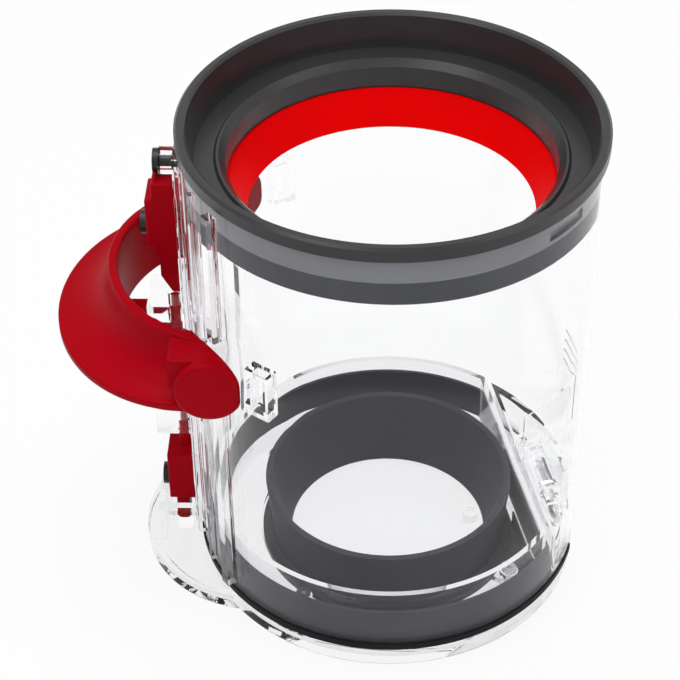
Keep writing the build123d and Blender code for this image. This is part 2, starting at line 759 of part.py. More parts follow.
# Clear ring that clamps the funnel seal, with its screw bosses
with BuildPart() as seal_clamp:
    with BuildSketch(Plane.XY.offset(clamp_foot)):
        Circle(clamp_outer)
        Circle(funnel_foot_radius + clamp_room, mode=Mode.SUBTRACT)
        with Locations((hinge_u[0] * clamp_cut_place, hinge_u[1] * clamp_cut_place)):
            Rectangle(clamp_outer, 2 * clamp_outer, rotation=hinge_turn, mode=Mode.SUBTRACT)
        # Ears out to the bosses
        ear_middle = (funnel_flange + clamp_boss_circle) / 2
        with PolarLocations(ear_middle, clamp_boss_count, start_angle=clamp_boss_start):
            Rectangle(clamp_boss_circle - funnel_flange, 2 * clamp_boss_radius)
    extrude(amount=clamp_thickness)
    with BuildSketch(Plane.XY.offset(clamp_foot)):
        with PolarLocations(clamp_boss_circle, clamp_boss_count, start_angle=clamp_boss_start):
            Circle(clamp_boss_radius)
    extrude(amount=clamp_head - clamp_foot)
    with BuildSketch(Plane.XY.offset(clamp_foot)):
        with PolarLocations(clamp_boss_circle, clamp_boss_count, start_angle=clamp_boss_start):
            Circle(clamp_screw_radius + pin_gap)
    extrude(amount=clamp_head - clamp_foot, mode=Mode.SUBTRACT)

# Screws of the clamp
with BuildPart() as clamp_screws:
    with BuildSketch(Plane.XY.offset(clamp_head)):
        with PolarLocations(clamp_boss_circle, clamp_boss_count, start_angle=clamp_boss_start):
            Circle(clamp_head_radius)
    extrude(amount=clamp_head_height)
    with BuildSketch(Plane.XY.offset(clamp_head)):
        with PolarLocations(clamp_boss_circle, clamp_boss_count, start_angle=clamp_boss_start):
            Circle(clamp_screw_radius)
    extrude(amount=-clamp_screw_length)

# Steel hinge pin
with BuildPart() as hinge_pin:
    with BuildSketch(hinge_side):
        with Locations((hinge_reach, hinge_height)):
            Circle(hinge_pin_radius)
    extrude(amount=knuckle_half + slide_gap + lug_thickness, both=True)

# Red thumb lever: flared visor, yoke wall, two hubs and a toe
with BuildPart() as thumb_lever:
    with BuildSketch(Plane.XY.offset(visor_z)):
        with Locations((visor_centre, 0)):
            Ellipse(visor_depth, visor_half)
    extrude(amount=visor_thickness)
    # The flare runs from the visor's edge up into the yoke's wall
    for share, lift in flare_steps:
        with BuildSketch(Plane.XY.offset(visor_top + lift * (yoke_front_top - visor_top))):
            with Locations((yoke_centre + share * (visor_centre - yoke_centre), 0)):
                Ellipse(
                    yoke_depth + share * (visor_depth - yoke_depth),
                    yoke_half + share * (visor_half - yoke_half),
                )
    loft()
    with BuildSketch(Plane.XY.offset(yoke_foot)):
        with Locations((yoke_centre, 0)):
            Ellipse(yoke_depth, yoke_half)
    extrude(amount=visor_z - yoke_foot)
    # Room inside the yoke
    with BuildSketch(Plane.XY.offset(yoke_foot)):
        with Locations((yoke_centre, 0)):
            Ellipse(yoke_depth - yoke_wall, yoke_half - yoke_wall)
    extrude(amount=yoke_front_top - yoke_foot, mode=Mode.SUBTRACT)
    # Sloping top edge, and nothing behind the hubs
    with BuildSketch(Plane.XZ):
        Polygon(
            (hub_x, yoke_back_top),
            (-visor_reach, yoke_front_top + (yoke_front_top - yoke_back_top) / 2),
            (-visor_reach, 2 * yoke_front_top),
            (hub_x, 2 * yoke_front_top),
            align=None,
        )
        with Locations((hub_x, yoke_foot)):
            Rectangle(2 * visor_reach, 2 * yoke_front_top, align=(Align.MIN, Align.CENTER))
    extrude(amount=2 * visor_half, both=True, mode=Mode.SUBTRACT)
    # Toe that presses the rod's lug
    with BuildSketch(Plane.XZ):
        with Locations((-toe_reach, toe_foot)):
            Rectangle(
                -yoke_centre + yoke_depth - yoke_wall / 2 - toe_reach,
                visor_z - toe_foot,
                align=(Align.MAX, Align.MIN),
            )
    extrude(amount=toe_half, both=True)
    # Arms that join the yoke to the hubs
    for start in (arm_inner, -arm_outer):
        with BuildSketch(Plane.XZ.offset(start)):
            with Locations((hub_x, hub_z)):
                Rectangle(arm_width, yoke_back_rise, align=(Align.MAX, Align.MIN))
        extrude(amount=arm_outer - arm_inner)
    # Hubs
    with BuildSketch(Plane.XZ):
        with Locations((hub_x, hub_z)):
            Circle(hub_radius)
    extrude(amount=hub_end, both=True)
    fillet(thumb_lever.edges().group_by(Axis.Y)[0], hub_edge)
    fillet(thumb_lever.edges().group_by(Axis.Y)[-1], hub_edge)
    with BuildSketch(Plane.XY.offset(yoke_foot - hub_radius)):
        Circle(lever_clear)
    extrude(amount=4 * hub_radius + yoke_front_top - yoke_foot, mode=Mode.SUBTRACT)
    with BuildSketch(Plane.XZ):
        with Locations((hub_x, hub_z)):
            Circle(trunnion_radius + pivot_gap)
    extrude(amount=trunnion_end + slide_gap, both=True, mode=Mode.SUBTRACT)

# Red push rod: tongue, slotted block, round rod and lug
with BuildPart() as push_rod:
    with BuildSketch(Plane.XZ):
        with Locations((-slider_face, block_foot)):
            Rectangle(block_reach - slider_face, block_height, align=(Align.MAX, Align.MIN))
    extrude(amount=block_half, both=True)
    with BuildSketch(Plane.YZ.offset(-slider_face)):
        with Locations((0, block_screw_z + rod_travel / 2)):
            SlotCenterToCenter(rod_travel, 2 * (boss_radius + slide_gap), rotation=90)
    extrude(amount=-(block_reach - slider_face), mode=Mode.SUBTRACT)
    with BuildSketch(Plane.XZ):
        with Locations((-(tongue_inner + tongue_outer) / 2, tongue_foot)):
            RectangleRounded(
                tongue_outer - tongue_inner,
                2 * (block_foot - tongue_foot),
                tongue_round,
                align=(Align.CENTER, Align.MIN),
            )
        with Locations((0, block_foot)):
            Rectangle(4 * block_reach, block_height, align=(Align.CENTER, Align.MIN), mode=Mode.SUBTRACT)
    extrude(amount=tongue_half, both=True)
    with BuildSketch(Plane.XY.offset(block_foot + block_height)):
        with Locations((rod_x, 0)):
            Circle(rod_radius)
    extrude(amount=rod_top - block_foot - block_height)
    with BuildSketch(Plane.XZ):
        with Locations((-slider_face, rod_lug_foot)):
            Rectangle(rod_lug_reach - slider_face, rod_lug_head - rod_lug_foot, align=(Align.MAX, Align.MIN))
    extrude(amount=rod_lug_half, both=True)

# Clear guide for the rod: two cheeks and two bridges on the runner's face
with BuildPart() as rod_guide:
    with BuildSketch(Plane.YZ.offset(-runner_face)):
        with Locations((0, guide_foot)):
            Rectangle(2 * guide_half, guide_head - guide_foot, align=(Align.CENTER, Align.MIN))
        with Locations((0, guide_bridge_top)):
            Rectangle(
                2 * (guide_half - guide_wall),
                guide_head - guide_bridge - guide_bridge_top,
                align=(Align.CENTER, Align.MIN),
                mode=Mode.SUBTRACT,
            )
    extrude(amount=-(guide_reach - runner_face))
    fillet(rod_guide.edges().filter_by(Axis.X).group_by(Axis.Z)[0], guide_round)
    with BuildSketch(Plane.XY.offset(guide_foot)):
        with Locations((rod_x, 0)):
            Circle(rod_radius + slide_gap)
    extrude(amount=guide_head - guide_foot, mode=Mode.SUBTRACT)

# Red release catch with its slot and spring pocket
with BuildPart() as release_catch:
    with BuildSketch(Plane.XZ):
        Polygon(
            (-slider_face, catch_head),
            (-catch_reach, catch_head),
            (-catch_reach, catch_pad_head),
            (-catch_pad_reach, catch_pad_head),
            (-catch_pad_reach, catch_pad_foot),
            (-catch_reach, catch_pad_foot),
            (-catch_reach, catch_step),
            (-catch_lower_reach, catch_step),
            (-catch_lower_reach, catch_tip_start),
            (-catch_tip_outer, catch_foot),
            (-slider_face, catch_foot),
            align=None,
        )
    extrude(amount=catch_half, both=True)
    with BuildSketch(Plane.YZ.offset(-slider_face)):
        with Locations((0, catch_screw_z + catch_travel / 2)):
            SlotCenterToCenter(catch_travel, 2 * (boss_radius + slide_gap), rotation=90)
    extrude(amount=-(catch_pad_reach - slider_face), mode=Mode.SUBTRACT)
    with BuildSketch(Plane.XZ):
        with Locations((-slider_face, catch_peg_z - slide_gap)):
            Rectangle(
                catch_pocket_reach - slider_face,
                catch_pocket_head - catch_peg_z + slide_gap,
                align=(Align.MAX, Align.MIN),
            )
    extrude(amount=catch_peg_half + slide_gap, both=True, mode=Mode.SUBTRACT)

# Black screws of the runner
with BuildPart() as runner_screws:
    for boss_z, reach, radius in runner_bosses:
        with BuildSketch(Plane.YZ.offset(-reach)):
            with Locations((0, boss_z)):
                Circle(screw_head_radius)
        extrude(amount=-screw_head_height)
        with BuildSketch(Plane.YZ.offset(-reach)):
            with Locations((0, boss_z)):
                Circle(screw_radius)
        extrude(amount=screw_length)

# Springs
with BuildPart() as return_spring:
    spring(guide_bridge_top, rod_lug_foot, rod_x, rod_spring_radius, rod_spring_wire, rod_spring_turns)
with BuildPart() as catch_spring:
    spring(
        catch_peg_z + catch_peg_height,
        catch_pocket_head,
        catch_spring_x,
        catch_spring_radius,
        catch_spring_wire,
        catch_spring_turns,
    )

pieces = {
    "bin_tube": bin_tube,
    "inlet_duct": inlet_duct,
    "top_collar": top_collar,
    "collar_seal": collar_seal,
    "shroud_wiper": shroud_wiper,
    "wiper_clamp": wiper_clamp,
    "base_lid": base_lid,
    "rim_seal": rim_seal,
    "skirt_seal": skirt_seal,
    "funnel_seal": funnel_seal,
    "seal_clamp": seal_clamp,
    "clamp_screws": clamp_screws,
    "hinge_pin": hinge_pin,
    "thumb_lever": thumb_lever,
    "push_rod": push_rod,
    "rod_guide": rod_guide,
    "release_catch": release_catch,
    "runner_screws": runner_screws,
    "return_spring": return_spring,
    "catch_spring": catch_spring,
}
os.makedirs("parts", exist_ok=True)
for name, piece in pieces.items():
    piece.part.label = name
    export_step(piece.part, f"parts/{name}.step")
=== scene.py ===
import json
import math

import bmesh
import bpy
from mathutils import Matrix, Vector


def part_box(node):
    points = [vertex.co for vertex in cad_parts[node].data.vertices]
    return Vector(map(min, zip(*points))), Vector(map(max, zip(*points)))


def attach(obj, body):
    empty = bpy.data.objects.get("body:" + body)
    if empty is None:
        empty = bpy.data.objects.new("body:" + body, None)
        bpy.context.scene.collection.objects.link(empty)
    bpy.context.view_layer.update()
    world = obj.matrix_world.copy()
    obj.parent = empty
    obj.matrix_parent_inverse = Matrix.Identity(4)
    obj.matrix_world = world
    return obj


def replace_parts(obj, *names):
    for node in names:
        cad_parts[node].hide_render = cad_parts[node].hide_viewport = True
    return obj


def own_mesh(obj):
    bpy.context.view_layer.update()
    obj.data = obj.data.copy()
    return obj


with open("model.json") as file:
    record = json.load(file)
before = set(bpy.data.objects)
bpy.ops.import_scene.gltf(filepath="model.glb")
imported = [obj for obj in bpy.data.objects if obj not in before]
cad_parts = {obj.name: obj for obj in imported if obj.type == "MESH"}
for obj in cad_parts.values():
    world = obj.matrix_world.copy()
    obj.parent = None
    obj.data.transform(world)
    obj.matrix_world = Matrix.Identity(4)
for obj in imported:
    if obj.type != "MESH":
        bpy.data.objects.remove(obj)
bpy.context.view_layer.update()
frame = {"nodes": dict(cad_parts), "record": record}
nodes = frame["nodes"]
record = frame["record"]
scene = bpy.context.scene
print("dust bin: frame loaded with", len(nodes), "nodes")

bodyOf = {}
for bodyName, members in record["behaviour"]["bodies"].items():
    for member in members:
        bodyOf[member] = bodyName
slotOf = {row["node"]: row["material_slot"] for row in record["subparts"]}

# finishes, all on object coordinates

noiseSpan = (0.3, 0.7)  # most of the noise lies in this span
noiseDetail = {"mottle": 1.0, "grain": 2.0, "haze": 3.0}
mixColor = {"factor": 0, "first": 6, "second": 7, "result": 2}  # a Mix node's sockets when it mixes colours

def startFinish(name):
    finish = bpy.data.materials.new(name)
    finish.use_nodes = True
    return finish, finish.node_tree, finish.node_tree.nodes["Principled BSDF"]

def addNoise(tree, place, scale, detail, low, high):
    noise = tree.nodes.new("ShaderNodeTexNoise")
    noise.inputs["Scale"].default_value = scale
    noise.inputs["Detail"].default_value = detail
    tree.links.new(place.outputs["Object"], noise.inputs["Vector"])
    spread = tree.nodes.new("ShaderNodeMapRange")
    spread.inputs["From Min"].default_value = noiseSpan[0]
    spread.inputs["From Max"].default_value = noiseSpan[1]
    spread.inputs["To Min"].default_value = low
    spread.inputs["To Max"].default_value = high
    tree.links.new(noise.outputs["Fac"], spread.inputs["Value"])
    return spread.outputs["Result"]

def addMath(tree, operation, first, second):
    step = tree.nodes.new("ShaderNodeMath")
    step.operation = operation
    tree.links.new(first, step.inputs[0])
    if isinstance(second, float):
        step.inputs[1].default_value = second
    else:
        tree.links.new(second, step.inputs[1])
    return step.outputs[0]

def mixShaders(tree, share, first, second):
    mix = tree.nodes.new("ShaderNodeMixShader")
    tree.links.new(share, mix.inputs[0])
    tree.links.new(first, mix.inputs[1])
    tree.links.new(second, mix.inputs[2])
    return mix.outputs["Shader"]

opaqueLook = {  # "edge" is how far the shading rounds off an edge
    "collarPlastic": {
        "shades": ((0.020, 0.020, 0.022), (0.025, 0.025, 0.027)), "mottle": 30,
        "rough": (0.28, 0.33), "grain": 700, "wave": 0.05, "gloss": 0.40, "metal": 0,
    },
    # a far paler copy of the collar's dark plastic, a painted reflection put on the skirt's outward faces
    "skirtPaintedSheen": {
        "shades": ((0.215, 0.216, 0.236), (0.245, 0.246, 0.268)), "mottle": 30,
        "rough": (0.30, 0.36), "grain": 700, "wave": 0.05, "gloss": 0.40, "metal": 0,
    },
    "sealRubber": {
        "shades": ((0.072, 0.073, 0.084), (0.083, 0.084, 0.096)), "mottle": 35,
        "rough": (0.56, 0.64), "grain": 900, "wave": 0.05, "gloss": 0.10, "metal": 0,
    },
    "rimRubber": {
        "shades": ((0.005, 0.005, 0.006), (0.008, 0.008, 0.009)), "mottle": 40,
        "rough": (0.50, 0.58), "grain": 900, "wave": 0.05, "gloss": 0.10, "metal": 0,
    },
    "leverPlastic": {
        "shades": ((0.360, 0.0008, 0.006), (0.395, 0.0012, 0.008)), "mottle": 28,
        "rough": (0.32, 0.38), "grain": 800, "wave": 0.06, "gloss": 0.03, "metal": 0, "edge": 0.0012,
    },
    "wiperSilicone": {
        "shades": ((0.80, 0.0004, 0.0008), (0.86, 0.0006, 0.0012)), "mottle": 35,
        "rough": (0.50, 0.58), "grain": 800, "wave": 0.05, "gloss": 0.03, "metal": 0,
    },
    "blackSteel": {
        "shades": ((0.006, 0.007, 0.007), (0.014, 0.015, 0.016)), "mottle": 260,
        "rough": (0.28, 0.42), "grain": 3000, "wave": 0.05, "gloss": 0.45, "metal": 0.4,
    },
    "brightSteel": {
        "shades": ((0.56, 0.56, 0.57), (0.66, 0.66, 0.67)), "mottle": 300,
        "rough": (0.18, 0.30), "grain": 3000, "wave": 0.03, "gloss": 0.5, "metal": 1,
    },
}
reliefLook = {"depth": 0.0002, "edgeSamples": 6}

def makeOpaque(name, look):
    finish, tree, shader = startFinish(name)
    place = tree.nodes.new("ShaderNodeTexCoord")
    mottle = addNoise(tree, place, look["mottle"], noiseDetail["mottle"], 0.0, 1.0)
    shade = tree.nodes.new("ShaderNodeMix")
    shade.data_type = "RGBA"
    shade.inputs[mixColor["first"]].default_value = (*look["shades"][0], 1)
    shade.inputs[mixColor["second"]].default_value = (*look["shades"][1], 1)
    tree.links.new(mottle, shade.inputs[mixColor["factor"]])
    tree.links.new(shade.outputs[mixColor["result"]], shader.inputs["Base Color"])
    grain = addNoise(tree, place, look["grain"], noiseDetail["grain"], *look["rough"])
    tree.links.new(grain, shader.inputs["Roughness"])
    relief = tree.nodes.new("ShaderNodeBump")
    relief.inputs["Strength"].default_value = look["wave"]
    relief.inputs["Distance"].default_value = reliefLook["depth"]
    tree.links.new(mottle, relief.inputs["Height"])
    if "edge" in look:
        soft = tree.nodes.new("ShaderNodeBevel")
        soft.samples = reliefLook["edgeSamples"]
        soft.inputs["Radius"].default_value = look["edge"]
        tree.links.new(soft.outputs["Normal"], relief.inputs["Normal"])
    tree.links.new(relief.outputs["Normal"], shader.inputs["Normal"])
    shader.inputs["Metallic"].default_value = look["metal"]
    shader.inputs["Specular IOR Level"].default_value = look["gloss"]
    return finish

clearLook = {"rough": (0.004, 0.014), "ior": 1.19, "streak": 90, "lampTint": (0.965, 0.97, 0.975)}
clearTint = {
    "clearPlastic": (0.988, 0.991, 0.994),
    "runnerPlastic": (0.930, 0.930, 0.945),
    "lidPlastic": (0.905, 0.907, 0.917),
}

def makeClear(name, tint, look):
    finish, tree, shader = startFinish(name)
    shader.inputs["Base Color"].default_value = (*tint, 1)
    shader.inputs["Transmission Weight"].default_value = 1.0
    shader.inputs["IOR"].default_value = look["ior"]
    place = tree.nodes.new("ShaderNodeTexCoord")
    haze = addNoise(tree, place, look["streak"], noiseDetail["haze"], *look["rough"])
    tree.links.new(haze, shader.inputs["Roughness"])
    path = tree.nodes.new("ShaderNodeLightPath")
    lamp = tree.nodes.new("ShaderNodeBsdfTransparent")
    lamp.inputs["Color"].default_value = (*look["lampTint"], 1)
    shown = shader.outputs["BSDF"]
    for ray in ("Is Shadow Ray", "Is Diffuse Ray"):  # lamp light and soft light pass straight through
        shown = mixShaders(tree, path.outputs[ray], shown, lamp.outputs["BSDF"])
    tree.links.new(shown, tree.nodes["Material Output"].inputs["Surface"])
    return finish

finishes = {name: makeOpaque(name, look) for name, look in opaqueLook.items()}
finishes.update({name: makeClear(name, tint, clearLook) for name, tint in clearTint.items()})
finishOfSlot = {
    "clear_plastic": "clearPlastic",
    "dark_plastic": "collarPlastic",
    "dark_rubber": "sealRubber",
    "black_rubber": "rimRubber",
    "red_plastic": "leverPlastic",
    "red_silicone": "wiperSilicone",
    "black_steel": "blackSteel",
    "steel": "brightSteel",
}
finishOfNode = {"base_lid": "lidPlastic"}  # its clear plastic is a shade greyer

def finishFor(nodeName):
    return finishes[finishOfNode.get(nodeName, finishOfSlot[slotOf[nodeName]])]

for nodeName, node in nodes.items():
    node.data.materials.clear()
    node.data.materials.append(finishFor(nodeName))
print("finishes made:", len(finishes))

# each solid gets a merged copy with smooth shading, and the moulded red pieces get rounded edges

smoothLimit = math.radians(28)
weldGap = 1e-6
clearGap = {"rod_guide": 0.00003, "inlet_duct": 0.00003, "seal_clamp": 0.00003}  # keeps clear walls apart

def addObject(name, data):
    made = bpy.data.objects.new(name, data)
    scene.collection.objects.link(made)
    return made

def placePiece(name, mesh, nodeName):
    piece = addObject(name, mesh)
    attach(piece, bodyOf[nodeName])
    return piece

def smoothMesh(mesh):
    mesh.polygons.foreach_set("use_smooth", [True] * len(mesh.polygons))
    mesh.set_sharp_from_angle(angle=smoothLimit)

def mergedCopy(nodeName):
    solid = nodes[nodeName].data
    mesh = bpy.data.meshes.new(nodeName + "_look")
    mesh.from_pydata([v.co for v in solid.vertices], [], [tuple(p.vertices) for p in solid.polygons])
    work = bmesh.new()
    work.from_mesh(mesh)
    bmesh.ops.remove_doubles(work, verts=work.verts, dist=weldGap)
    bmesh.ops.dissolve_degenerate(work, edges=work.edges, dist=weldGap)
    work.normal_update()
    return mesh, work

def shrinkPiece(work, gap):
    for vert in work.verts:
        vert.co -= vert.normal * gap

skirtSheenZone = {"reach": 0.0545, "top": 0.1478, "facing": 0.5}  # the collar's skirt behind the tube gets a paler colour on its outward faces, a painted reflection of the bright front light
runnerZone = {"reach": 0.0515}  # the tube's thick runner side is greyer

def isSkirtSheen(face):
    centre = face.calc_center_median()
    reach = math.hypot(centre.x, centre.y)
    outward = face.normal.x * centre.x + face.normal.y * centre.y
    inZone = reach > skirtSheenZone["reach"] and centre.z < skirtSheenZone["top"]
    return inZone and outward > skirtSheenZone["facing"] * reach

def isRunner(face):
    return -face.calc_center_median().x > runnerZone["reach"]

# the collar's skirt gets the painted reflection, and the tube's runner side gets the greyer clear tint
secondFinish = {"top_collar": ("skirtPaintedSheen", isSkirtSheen), "bin_tube": ("runnerPlastic", isRunner)}

# edges nearer to the tube's axis than "from" stay sharp, and those below "fullAbove" are rounded less
roundedEdge = {
    "thumb_lever": {"width": 0.0006, "steps": 3, "from": 0.0635, "fullAbove": 0.100},
    "push_rod": {"width": 0.0004, "steps": 2, "from": 0.0, "fullAbove": 0.0},
    "release_catch": {"width": 0.0004, "steps": 2, "from": 0.0, "fullAbove": 0.0},
}
edgeRule = {"flat": math.radians(0.6), "sharp": math.radians(38), "lessShare": 0.4}

def markEdges(work, look):
    bmesh.ops.dissolve_limit(work, angle_limit=edgeRule["flat"], verts=work.verts, edges=work.edges)
    weight = work.edges.layers.float.new("bevel_weight_edge")
    for edge in work.edges:
        middle = (edge.verts[0].co + edge.verts[1].co) / 2
        if -middle.x > look["from"] and edge.calc_face_angle(0) > edgeRule["sharp"]:
            edge[weight] = 1.0 if middle.z > look["fullAbove"] else edgeRule["lessShare"]

def roundEdges(piece, look):
    edge = piece.modifiers.new("roundedEdge", "BEVEL")
    edge.width = look["width"]
    edge.segments = look["steps"]
    edge.limit_method = "WEIGHT"
    edge.use_clamp_overlap = False
    edge.harden_normals = True

def dressNode(nodeName):
    mesh, work = mergedCopy(nodeName)
    mesh.materials.append(finishFor(nodeName))
    if nodeName in secondFinish:
        finishName, belongs = secondFinish[nodeName]
        mesh.materials.append(finishes[finishName])
        for face in work.faces:
            face.material_index = int(belongs(face))
    if nodeName in clearGap:
        shrinkPiece(work, clearGap[nodeName])
    if nodeName in roundedEdge:
        markEdges(work, roundedEdge[nodeName])
    work.to_mesh(mesh)
    work.free()
    smoothMesh(mesh)
    look = placePiece(nodeName + "_look", mesh, nodeName)
    if nodeName in roundedEdge:
        roundEdges(look, roundedEdge[nodeName])
    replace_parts(look, nodeName)

# node trees for what repeats or follows a rule

roundSides = 10  # sides of the springs' wire and of the grip ribs

def startTree(name, sizes):
    tree = bpy.data.node_groups.new(name, "GeometryNodeTree")
    tree.interface.new_socket("Geometry", in_out="INPUT", socket_type="NodeSocketGeometry")
    for label, value in sizes.items():
        kind = "NodeSocketInt" if isinstance(value, int) else "NodeSocketFloat"
        tree.interface.new_socket(label, in_out="INPUT", socket_type=kind)
    tree.interface.new_socket("Geometry", in_out="OUTPUT", socket_type="NodeSocketGeometry")
    return tree, tree.nodes.new("NodeGroupInput")

def sweepRound(tree, path, radius):
    ring = tree.nodes.new("GeometryNodeCurvePrimitiveCircle")
    ring.inputs["Resolution"].default_value = roundSides
    tree.links.new(radius, ring.inputs["Radius"])
    sweep = tree.nodes.new("GeometryNodeCurveToMesh")
    sweep.inputs["Fill Caps"].default_value = True
    tree.links.new(path, sweep.inputs["Curve"])
    tree.links.new(ring.outputs["Curve"], sweep.inputs["Profile Curve"])
    return sweep.outputs["Mesh"]

def endTree(tree, made, finish):
    real = tree.nodes.new("GeometryNodeRealizeInstances")
    tree.links.new(made, real.inputs["Geometry"])
    paint = tree.nodes.new("GeometryNodeSetMaterial")
    paint.inputs["Material"].default_value = finish
    tree.links.new(real.outputs["Geometry"], paint.inputs["Geometry"])
    leave = tree.nodes.new("NodeGroupOutput")
    tree.links.new(paint.outputs["Geometry"], leave.inputs["Geometry"])

def growMesh(name, tree, sizes, start):
    seed = addObject(name + "_seed", start)
    grow = seed.modifiers.new("grow", "NODES")
    grow.node_group = tree
    for item in tree.interface.items_tree:
        if item.in_out == "INPUT" and item.name in sizes:
            grow[item.identifier] = sizes[item.name]
    graph = bpy.context.evaluated_depsgraph_get()
    mesh = bpy.data.meshes.new_from_object(seed.evaluated_get(graph), depsgraph=graph)
    mesh.name = name
    seed.modifiers.clear()
    bpy.data.objects.remove(seed)
    smoothMesh(mesh)
    return mesh

springLook = {
    "return_spring": {"turns": 6.0, "wireRadius": 0.0003},
    "catch_spring": {"turns": 5.0, "wireRadius": 0.0002},
}
coilSteps = 28  # points on each turn

def coilTree(finish):
    sizes = dict.fromkeys(("turns", "coilRadius", "wireRadius", "coilHeight"), 0.0)
    tree, enter = startTree("coilSpring", sizes)
    coil = tree.nodes.new("GeometryNodeCurveSpiral")
    coil.inputs["Resolution"].default_value = coilSteps
    tree.links.new(enter.outputs["turns"], coil.inputs["Rotations"])
    tree.links.new(enter.outputs["coilRadius"], coil.inputs["Start Radius"])
    tree.links.new(enter.outputs["coilRadius"], coil.inputs["End Radius"])
    tree.links.new(enter.outputs["coilHeight"], coil.inputs["Height"])
    endTree(tree, sweepRound(tree, coil.outputs["Curve"], enter.outputs["wireRadius"]), finish)
    return tree

def dressSpring(nodeName, tree):
    low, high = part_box(nodeName)
    wire = springLook[nodeName]["wireRadius"]
    sizes = {
        "turns": springLook[nodeName]["turns"],
        "coilRadius": (high.y - low.y) / 2 - wire,
        "wireRadius": wire,
        "coilHeight": high.z - low.z - 2 * wire,
    }
    mesh = growMesh(nodeName + "_look", tree, sizes, bpy.data.meshes.new(nodeName + "_start"))
    mesh.transform(Matrix.Translation(((low.x + high.x) / 2, (low.y + high.y) / 2, low.z + wire)))
    piece = placePiece(nodeName + "_look", mesh, nodeName)
    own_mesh(piece)
    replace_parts(piece, nodeName)

screwLook = {  # "heads" is the way the heads face
    "runner_screws": {
        "heads": (-1, 0, 0), "turn": (0, math.pi / 2, 0), "socketRadius": 0.0012, "socketDepth": 0.0011,
    },
    "clamp_screws": {
        "heads": (0, 0, 1), "turn": (0, 0, 0), "socketRadius": 0.0007, "socketDepth": 0.0005,
    },
}
socketSides = 6
headSlack = 1e-5  # points this near to a head's top lie on its flat face

def socketTree(name, turn, finish):
    tree, enter = startTree(name, dict.fromkeys(("socketRadius", "socketDepth"), 0.0))
    beside = tree.nodes.new("GeometryNodeInputMeshVertexNeighbors")
    loose = tree.nodes.new("FunctionNodeCompare")  # the points without a face mark the sockets
    loose.data_type = "INT"
    loose.operation = "EQUAL"
    tree.links.new(beside.outputs["Face Count"], loose.inputs[2])
    loose.inputs[3].default_value = 0
    split = tree.nodes.new("GeometryNodeSeparateGeometry")
    split.domain = "POINT"
    tree.links.new(enter.outputs["Geometry"], split.inputs["Geometry"])
    tree.links.new(loose.outputs["Result"], split.inputs["Selection"])
    cutter = tree.nodes.new("GeometryNodeMeshCylinder")  # half of it stands out of the head
    cutter.inputs["Vertices"].default_value = socketSides
    tree.links.new(enter.outputs["socketRadius"], cutter.inputs["Radius"])
    tree.links.new(addMath(tree, "MULTIPLY", enter.outputs["socketDepth"], 2.0), cutter.inputs["Depth"])
    place = tree.nodes.new("GeometryNodeInstanceOnPoints")
    place.inputs["Rotation"].default_value = turn
    tree.links.new(split.outputs["Selection"], place.inputs["Points"])
    tree.links.new(cutter.outputs["Mesh"], place.inputs["Instance"])
    cut = tree.nodes.new("GeometryNodeMeshBoolean")
    cut.operation = "DIFFERENCE"
    tree.links.new(split.outputs["Inverted"], cut.inputs["Mesh 1"])
    tree.links.new(place.outputs["Instances"], cut.inputs["Mesh 2"])
    endTree(tree, cut.outputs["Mesh"], finish)
    return tree

def headPoints(work, heads):
    left = set(work.verts)
    points = []
    while left:
        island = {left.pop()}
        edge = list(island)
        while edge:
            near = [e.other_vert(v) for v in edge for e in v.link_edges]
            edge = [v for v in set(near) if v in left]
            left.difference_update(edge)
            island.update(edge)
        top = max(v.co.dot(heads) for v in island)
        face = [v.co for v in island if v.co.dot(heads) > top - headSlack]
        points.append(sum(face, Vector()) / len(face))
    return points

def dressScrews(nodeName):
    look = screwLook[nodeName]
    mesh, work = mergedCopy(nodeName)
    for point in headPoints(work, Vector(look["heads"])):
        work.verts.new(point)
    work.to_mesh(mesh)
    work.free()
    tree = socketTree(nodeName + "Sockets", look["turn"], finishFor(nodeName))
    made = growMesh(nodeName + "_look", tree, look, mesh)
    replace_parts(placePiece(nodeName + "_look", made, nodeName), nodeName)

ribLook = {
    "ribCount": 4, "ribPitch": 0.0037, "ribFoot": 0.0549, "ribReach": 0.0571, "ribRadius": 0.0005,
    "arcStart": math.radians(8.5), "arcSweep": math.radians(10.5),
}
arcSteps = 20  # points along each rib

def ribTree(finish):
    tree, enter = startTree("gripRibs", ribLook)
    arc = tree.nodes.new("GeometryNodeCurveArc")
    arc.inputs["Resolution"].default_value = arcSteps
    tree.links.new(enter.outputs["ribReach"], arc.inputs["Radius"])
    tree.links.new(enter.outputs["arcStart"], arc.inputs["Start Angle"])
    tree.links.new(enter.outputs["arcSweep"], arc.inputs["Sweep Angle"])
    column = tree.nodes.new("GeometryNodeMeshLine")
    tree.links.new(enter.outputs["ribCount"], column.inputs["Count"])
    for label, socket in (("ribFoot", "Start Location"), ("ribPitch", "Offset")):
        upward = tree.nodes.new("ShaderNodeCombineXYZ")
        tree.links.new(enter.outputs[label], upward.inputs["Z"])
        tree.links.new(upward.outputs[0], column.inputs[socket])
    place = tree.nodes.new("GeometryNodeInstanceOnPoints")
    tree.links.new(column.outputs["Mesh"], place.inputs["Points"])
    bead = sweepRound(tree, arc.outputs["Curve"], enter.outputs["ribRadius"])
    tree.links.new(bead, place.inputs["Instance"])
    endTree(tree, place.outputs["Instances"], finish)
    return tree

cornerLook = {  # rubber in the two corners between the funnel's flange and the lid's flat inner wall
    "inner": 0.03905, "flat": 0.0380, "turn": math.radians(12.5), "thick": 0.0014, "steps": 14,
    "lining": 0.0005, "lap": 0.001,
    "spans": ((math.radians(-29), math.radians(-2)), (math.radians(27), math.radians(50))),
}

def addPrism(points, faces, ring, low, high):
    first = len(points)
    count = len(ring)
    points += [(p.x, p.y, low) for p in ring]
    points += [(p.x, p.y, high) for p in ring]
    faces.append([first + k for k in reversed(range(count))])
    faces.append([first + count + k for k in range(count)])
    for k in range(count):
        after = (k + 1) % count
        faces.append([first + k, first + after, first + count + after, first + count + k])

